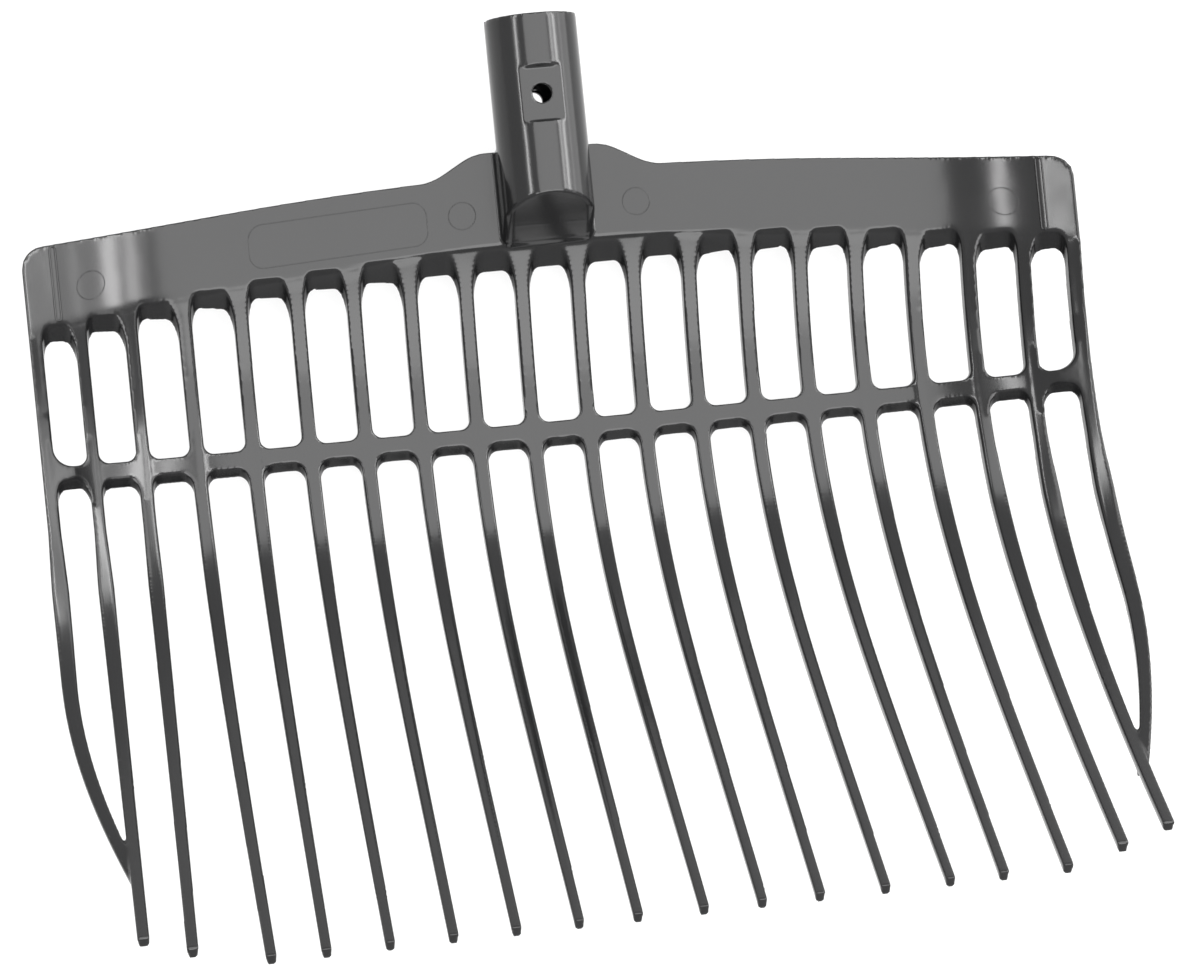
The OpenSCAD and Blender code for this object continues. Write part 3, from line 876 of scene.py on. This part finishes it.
on_plate = (over > -margin) & (middles[:, 1] > -cross_drop + cross_h)
on_plate |= (over_edge > edge_room - slot_land) | on_foot
for node, low_x, high_x in (("back_plate_left", -x_limit, -tine_pitch),
                            ("handle_socket", -tine_pitch, tine_pitch),
                            ("back_plate_right", tine_pitch, x_limit)):
    part = Part(on_plate & (middles[:, 0] > low_x - cut_room) & (middles[:, 0] < high_x + cut_room))
    for k in numbers:
        if low_x < tine_x[k] < high_x:
            place, outwards = scarfs[k][:2]
            head_top = slot_line(places[k - 1]) - slot_land + edge_room
            part.cut(place, [-v for v in outwards],
                     lambda c: abs(c.x - tine_x[k]) < head_reach and c.y < head_top)
    if low_x > -x_limit:
        part.cut((low_x, 0, 0), (-1, 0, 0))
    if high_x < x_limit:
        part.cut((high_x, 0, 0), (1, 0, 0))
    part.finish(node)

# Moulded marks
# Thin raised lines that the mould leaves on the plate: a bare rounded frame on the left, the rims
# of four ejector pins and a double bead up each crease.
mark_w = 0.0005
mark_h = 0.00010
mark_sink = 0.0002
frame_left = -0.105
frame_right = -0.042
frame_low = 0.0024
frame_high = 0.0177
frame_r = 0.005
rim_r = 0.0048
rims = ((-0.161, 0.0093), (0.161, 0.0093), (-0.0295, 0.0111), (0.0326, 0.0109))
bead_w = 0.0008
bead_h = 0.0002
bead_gap = 0.0020
line_steps = 72


def over_slots(loop):
    """A line given above the row of slots, as levels on the plate."""
    return np.column_stack([loop[:, 0], loop[:, 1] + slot_line(section_at(loop[:, 0]))])


def raised_line(loop, width, height):
    """Rings of points of a thin ridge that follows a closed line on the plate."""
    tangent = np.roll(loop, -1, 0) - np.roll(loop, 1, 0)
    tangent /= np.linalg.norm(tangent, axis=1, keepdims=True)
    sideways = np.stack([-tangent[:, 1], tangent[:, 0]], -1)
    rings = []
    for offset, rise in ((-0.5, -mark_sink), (-0.25, height), (0.25, height), (0.5, -mark_sink)):
        flat = loop + sideways * offset * width
        rings.append(np.column_stack([flat, rise_at(section_at(flat[:, 0])) + rise]))
    return np.stack(rings, 1)


turns = (np.arange(line_steps) + 0.5) / line_steps * 2 * np.pi
circle = np.stack([np.cos(turns), np.sin(turns)], -1)
corners = np.sign(circle)
frame_half = np.array((frame_right - frame_left, frame_high - frame_low)) / 2
frame_middle = np.array((frame_right + frame_left, frame_high + frame_low)) / 2
loops = [frame_middle + corners * (frame_half - frame_r) + frame_r * circle]
loops += [np.array(middle) + rim_r * circle for middle in rims]
ridges = [raised_line(over_slots(loop), mark_w, mark_h) for loop in loops]
crease_x = x_at(crease_a)
bead_low = slot_line(crease_a)
bead_high = plate_top(crease_x) - bead_w
for side in (-1, 1):
    bead_middle = np.array((side * crease_x, (bead_low + bead_high) / 2))
    bead_half = np.array((bead_gap / 2, (bead_high - bead_low) / 2))
    ridges.append(raised_line(bead_middle + corners * (bead_half - bead_gap / 2) + bead_gap / 2 * circle,
                              bead_w, bead_h))
mark_points, mark_faces = [], []
for rings in ridges:
    first = np.arange(rings.shape[0] * 4).reshape(-1, 4) + 4 * sum(len(p) for p in mark_points)
    after, beside = np.roll(first, -1, 0), np.roll(first, -1, 1)
    mark_faces += np.stack([first, after, np.roll(after, -1, 1), beside], -1).reshape(-1, 4).tolist()
    mark_points.append(rings)
marks = new_object("moulded_marks", np.vstack(mark_points), mark_faces)
face_outwards(marks)
for face in marks.data.polygons:
    face.use_smooth = True
marks.data.materials.append(plastic)
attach(marks, "root")

# Floor and surround
# A pale matt floor lies under the fork and keeps its shadow. The white surround shows in gloss as
# the camera sees it, and lights the fork only softly.
floor_gap = 0.001
floor_half = 3.0
floor_glow = 0.85
floor_level = cad_box[0].z - floor_gap


def seen_plainly(tree):
    """Socket that is 1 where the camera sees a thing straight, in gloss or through glass."""
    ray = tree.nodes.new("ShaderNodeLightPath")
    seen = ray.outputs["Is Camera Ray"]
    for kind in ("Is Glossy Ray", "Is Transmission Ray"):
        either = tree.nodes.new("ShaderNodeMath")
        either.operation = "MAXIMUM"
        tree.links.new(seen, either.inputs[0])
        tree.links.new(ray.outputs[kind], either.inputs[1])
        seen = either.outputs[0]
    return seen


floor_mesh = bpy.data.meshes.new("floor")
floor_mesh.from_pydata([(x * floor_half, y * floor_half, floor_level) for x, y in
                        ((-1, -1), (1, -1), (1, 1), (-1, 1))], [], [(0, 1, 2, 3)])
floor = bpy.data.objects.new("floor", floor_mesh)
bpy.context.scene.collection.objects.link(floor)
pale = bpy.data.materials.new("pale_floor")
pale.use_nodes = True
nodes = pale.node_tree.nodes
link = pale.node_tree.links.new
matt = nodes["Principled BSDF"]
matt.inputs["Base Color"].default_value = (0.92, 0.92, 0.92, 1)
matt.inputs["Roughness"].default_value = 0.9
glow = nodes.new("ShaderNodeEmission")
mix = nodes.new("ShaderNodeMixShader")
seen = nodes.new("ShaderNodeMath")
seen.operation = "MULTIPLY"
seen.inputs[1].default_value = floor_glow
link(seen_plainly(pale.node_tree), seen.inputs[0])
link(seen.outputs[0], mix.inputs["Fac"])
link(matt.outputs[0], mix.inputs[1])
link(glow.outputs[0], mix.inputs[2])
link(mix.outputs[0], nodes["Material Output"].inputs["Surface"])
floor_mesh.materials.append(pale)

world = bpy.data.worlds.new("white_surround")
bpy.context.scene.world = world
world.use_nodes = True
nodes = world.node_tree.nodes
link = world.node_tree.links.new
surround = nodes["Background"]
surround.inputs["Color"].default_value = (1, 1, 1, 1)
strength = nodes.new("ShaderNodeMapRange")
strength.inputs["To Min"].default_value = 0.5
strength.inputs["To Max"].default_value = 1.0
link(seen_plainly(world.node_tree), strength.inputs["Value"])
link(strength.outputs["Result"], surround.inputs["Strength"])

# Lamps
# Broad soft lamps hang overhead and in front of the fork. Narrow ones stand at both sides, at the
# angles that put the bright bands on the rising sides of the basket.
lamp_x = 0.16
lamp_width = 1.76
lamp_height = 1.6
front_height = 0.97 * lamp_height
overhead_y = 0.40
front_y = -0.93
side_y = 0.68
side_length = 1.6
side_distance = 1.6
wing_x = 0.155
wing_height = 0.03


def soft_lamp(name, stands, faces, width, length, glow):
    """A flat soft lamp of an even glow that faces a place and lies along the fork."""
    direction = (Vector(stands) - Vector(faces)).normalized()
    along = (Vector((0, 1, 0)) - direction * direction.y).normalized()
    lamp = bpy.data.lights.new(name, "AREA")
    lamp.shape = "RECTANGLE"
    lamp.size = width
    lamp.size_y = length
    lamp.energy = glow * np.pi * width * length
    made = bpy.data.objects.new(name, lamp)
    turned = Matrix((along.cross(direction), along, direction)).transposed()
    made.matrix_world = Matrix.Translation(stands) @ turned.to_4x4()
    made.visible_camera = False
    bpy.context.scene.collection.objects.link(made)


def strip_lamp(name, side, degrees, spread, glow, distance=side_distance, middle_y=side_y,
               length=side_length):
    """A lamp beside the fork, at an angle from overhead as one side of the basket sees it."""
    angle, half = np.radians(degrees), np.radians(spread / 2)
    place = (side * wing_x + distance * np.sin(angle), middle_y, wing_height + distance * np.cos(angle))
    soft_lamp(name, place, (side * wing_x, middle_y, wing_height), 2 * distance * np.tan(half), length, glow)


soft_lamp("overhead_lamp", (lamp_x, overhead_y, lamp_height), (lamp_x, overhead_y, 0),
          width=lamp_width, length=3.8, glow=3.95)
soft_lamp("front_lamp", (lamp_x, front_y, front_height), (lamp_x, front_y, 0),
          width=lamp_width, length=0.77, glow=2.2)
strip_lamp("right_panel_lamp", side=-1, degrees=66, spread=52, glow=3.0, distance=1.75)
strip_lamp("right_near_lamp", side=-1, degrees=47.2, spread=4, glow=10.5)
strip_lamp("right_far_lamp", side=-1, degrees=56.5, spread=6.5, glow=14)
strip_lamp("right_low_lamp", side=-1, degrees=72, spread=2.5, glow=4.5)
strip_lamp("right_front_lamp", side=-1, degrees=62.5, spread=9, glow=2.6, middle_y=-0.65, length=1.0)
strip_lamp("left_lamp", side=1, degrees=-50.5, spread=5, glow=17)

# Camera
# A long lens high over the fork looks down on the front of the basket, square to the plate, with
# the fork a little turned in the picture.
camera_place = Vector((-0.1740, -0.1678, 1.3896))
camera_right = Vector((0.98668, -0.09970, 0.12854))
camera_up = Vector((0.09878, 0.99502, 0.01358))
focal_pixels = 4000
picture_width = 1194
lens = bpy.data.cameras.new("camera")
lens.sensor_fit = "HORIZONTAL"
lens.lens = lens.sensor_width * focal_pixels / picture_width
camera = bpy.data.objects.new("camera", lens)
axes = Matrix((camera_right, camera_up, camera_right.cross(camera_up))).transposed()
camera.matrix_world = Matrix.Translation(camera_place) @ axes.to_4x4()
bpy.context.scene.collection.objects.link(camera)
bpy.context.scene.camera = camera
bpy.context.scene.view_settings.view_transform = "Standard"
